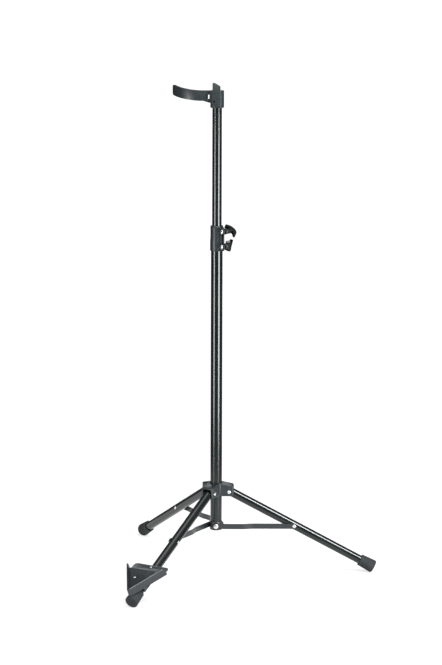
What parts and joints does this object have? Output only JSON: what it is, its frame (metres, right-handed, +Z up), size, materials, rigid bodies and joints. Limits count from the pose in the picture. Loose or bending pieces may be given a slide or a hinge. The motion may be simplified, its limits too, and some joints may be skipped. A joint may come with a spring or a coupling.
{
  "type": "saxophone stand",
  "caption": "Folding woodwind stand: telescopic post on a braced tripod, with a curved hook at the top and a V cradle low on one leg.",
  "frame": {"origin": "on the floor, at the centre of the footprint's bounding box", "axes": "+Z up along the post, -Y towards the front leg with the cradle, +X to that leg's right as seen from behind it"},
  "size_m": [0.5384, 0.4762, 0.944],
  "materials": {
    "black_lacquer": "gloss black lacquer on steel tube",
    "grey_moulding": "satin dark grey moulded plastic",
    "grey_enamel": "satin dark grey enamel on sheet steel",
    "black_moulding": "satin black moulded plastic",
    "rubber": "matt dark grey rubber",
    "nickel": "bright nickel plate"
  },
  "bodies": {
    "post": {"lower_tube": "black_lacquer", "brace_carrier": "black_moulding", "clamp_collar": "grey_moulding", "carrier_rivet_front": "nickel", "carrier_rivet_right": "nickel", "carrier_rivet_left": "nickel", "clamp_bolt_knob": "nickel", "clamp_bolt_lever": "nickel", "clamp_washer_knob": "nickel", "clamp_washer_lever": "nickel"},
    "hub": {"hub_body": "grey_moulding", "hub_rivet_front": "nickel", "hub_rivet_right": "nickel", "hub_rivet_left": "nickel"},
    "leg_front": {"leg_tube_front": "black_lacquer", "foot_cap_front": "rubber", "leg_rivet_front": "nickel", "cradle_tray": "grey_enamel", "cradle_saddle": "black_moulding", "cradle_screw_left": "nickel", "cradle_screw_right": "nickel", "cradle_rivet": "nickel"},
    "leg_right": {"leg_tube_right": "black_lacquer", "foot_cap_right": "rubber", "leg_rivet_right": "nickel"},
    "leg_left": {"leg_tube_left": "black_lacquer", "foot_cap_left": "rubber", "leg_rivet_left": "nickel"},
    "brace_front": {"brace_front": "grey_enamel", "brace_rivet_front": "nickel"},
    "brace_right": {"brace_right": "grey_enamel", "brace_rivet_right": "nickel"},
    "brace_left": {"brace_left": "grey_enamel", "brace_rivet_left": "nickel"},
    "guide": {"guide_plug": "black_moulding"},
    "riser": {"upper_tube": "black_lacquer", "head_block": "grey_moulding", "head_screw": "black_moulding", "hook_arm": "grey_moulding"},
    "wing_knob": {"wing_knob": "black_moulding"},
    "clamp_lever": {"clamp_lever": "black_moulding"}
  },
  "joints": [
    {"name": "hub_slide", "type": "slide", "parent": "post", "child": "hub", "axis": [0, 0, 1], "range_m": [0, 0.21986]},
    {"name": "leg_front_fold", "type": "hinge", "parent": "hub", "child": "leg_front", "pos_m": [0, 0.04806, 0.15845], "axis": [1, 0, 0], "range_deg": [-0.5, 58.39]},
    {"name": "leg_right_fold", "type": "hinge", "parent": "hub", "child": "leg_right", "pos_m": [0.02165, 0.08556, 0.15845], "axis": [-0.5, 0.866, 0], "range_deg": [-0.5, 58.39]},
    {"name": "leg_left_fold", "type": "hinge", "parent": "hub", "child": "leg_left", "pos_m": [-0.02165, 0.08556, 0.15845], "axis": [-0.5, -0.866, 0], "range_deg": [-0.5, 58.39]},
    {"name": "brace_front_fold", "type": "hinge", "parent": "post", "child": "brace_front", "pos_m": [0, 0.07306, 0.09105], "axis": [-1, 0, 0], "range_deg": [-0.5, 76.81]},
    {"name": "brace_right_fold", "type": "hinge", "parent": "post", "child": "brace_right", "pos_m": [0, 0.07306, 0.09105], "axis": [0.5, -0.866, 0], "range_deg": [-0.5, 76.81]},
    {"name": "brace_left_fold", "type": "hinge", "parent": "post", "child": "brace_left", "pos_m": [0, 0.07306, 0.09105], "axis": [0.5, 0.866, 0], "range_deg": [-0.5, 76.81]},
    {"name": "height_slide", "type": "slide", "parent": "post", "child": "guide", "axis": [0, 0, 1], "range_m": [-0.2, 0.2]},
    {"name": "hook_swivel", "type": "hinge", "parent": "guide", "child": "riser", "pos_m": [0, 0.07306, 0.5], "axis": [0, 0, 1], "continuous": true},
    {"name": "wing_knob_turn", "type": "hinge", "parent": "post", "child": "wing_knob", "pos_m": [0.01919, 0.06645, 0.66335], "axis": [0.3256, 0.9455, 0], "continuous": true},
    {"name": "clamp_lever_turn", "type": "hinge", "parent": "post", "child": "clamp_lever", "pos_m": [0.01919, 0.06645, 0.63475], "axis": [0.3256, 0.9455, 0], "range_deg": [-30, 60]}
  ],
  "couplings": [
    {"joint": "leg_front_fold", "follows": "hub_slide", "rad_per_m": 4.5955},
    {"joint": "leg_right_fold", "follows": "hub_slide", "rad_per_m": 4.5955},
    {"joint": "leg_left_fold", "follows": "hub_slide", "rad_per_m": 4.5955},
    {"joint": "brace_front_fold", "follows": "hub_slide", "rad_per_m": 6.0579},
    {"joint": "brace_right_fold", "follows": "hub_slide", "rad_per_m": 6.0579},
    {"joint": "brace_left_fold", "follows": "hub_slide", "rad_per_m": 6.0579}
  ]
}
